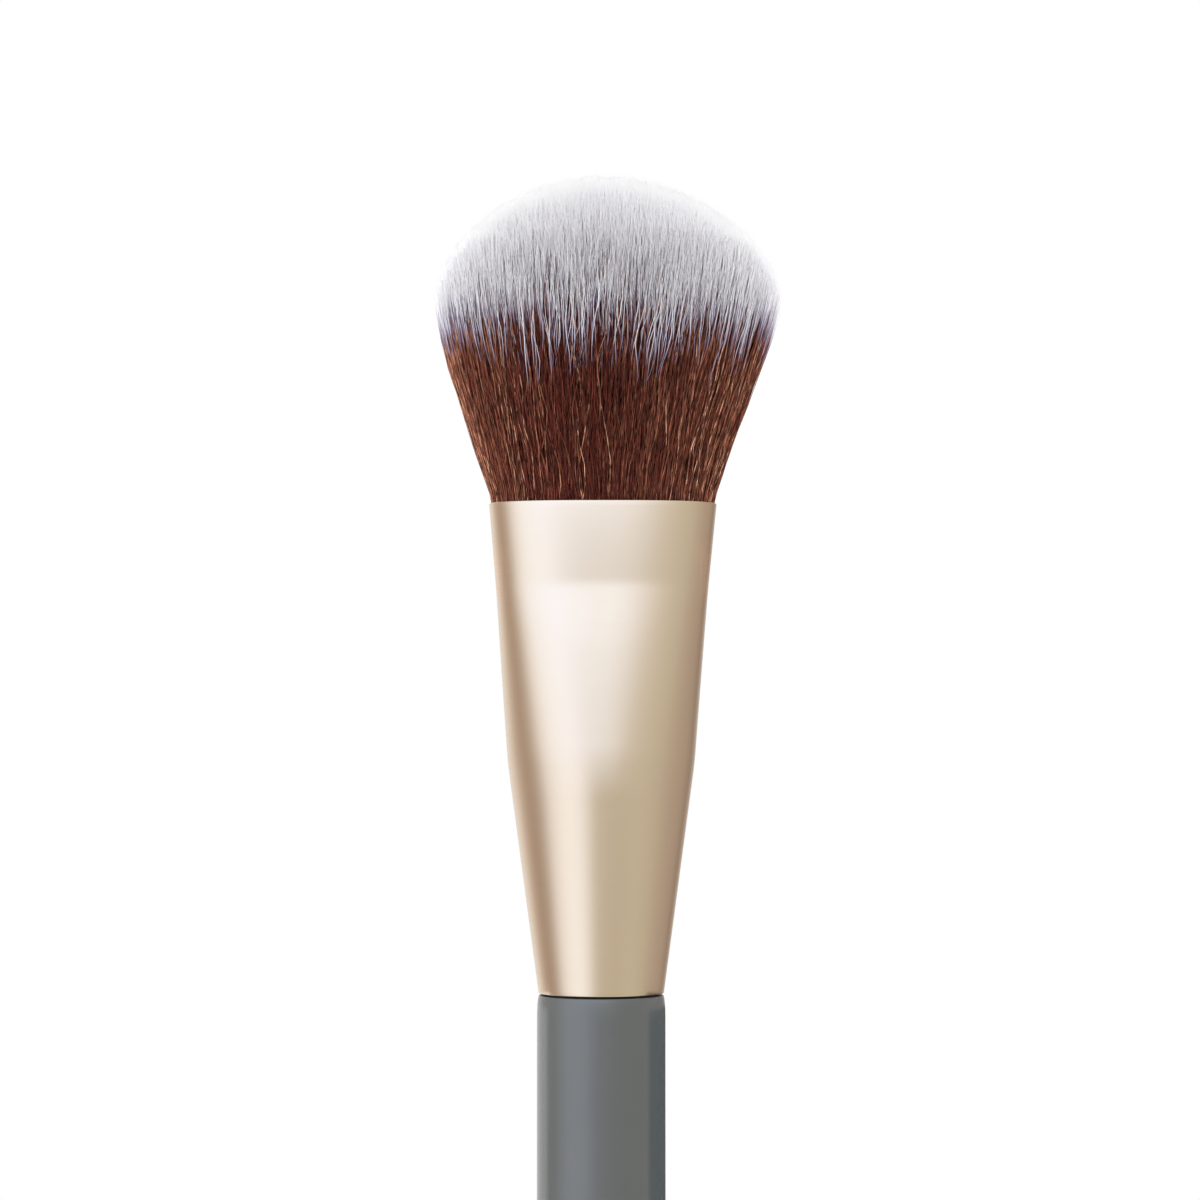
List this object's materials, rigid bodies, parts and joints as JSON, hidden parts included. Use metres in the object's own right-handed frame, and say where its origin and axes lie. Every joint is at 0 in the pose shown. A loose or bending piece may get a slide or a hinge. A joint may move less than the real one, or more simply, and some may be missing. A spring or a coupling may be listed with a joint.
{
  "type": "blush brush",
  "caption": "Upright cosmetic brush: straight round handle, metal ferrule pressed from round to oval, and a domed tuft of two-tone filaments.",
  "frame": {"origin": "middle of the butt's flat face, at the handle's end", "axes": "+Z along the brush from the butt to the tips, +X across the wide side of the oval ferrule, -Y towards the picture's camera"},
  "size_m": [0.0353, 0.0238, 0.1753],
  "materials": {
    "handle_lacquer": "satin grey lacquer over turned birch",
    "ferrule_metal": "satin-brushed, champagne anodised",
    "filament": "fine tapered filaments, red-brown with pale grey tips",
    "resin": "cast resin",
    "glue": "set adhesive"
  },
  "bodies": {
    "root": {"handle": "handle_lacquer", "ferrule": "ferrule_metal", "bristle_tuft": "filament", "potting_resin": "resin", "tenon_glue": "glue"}
  },
  "joints": []
}
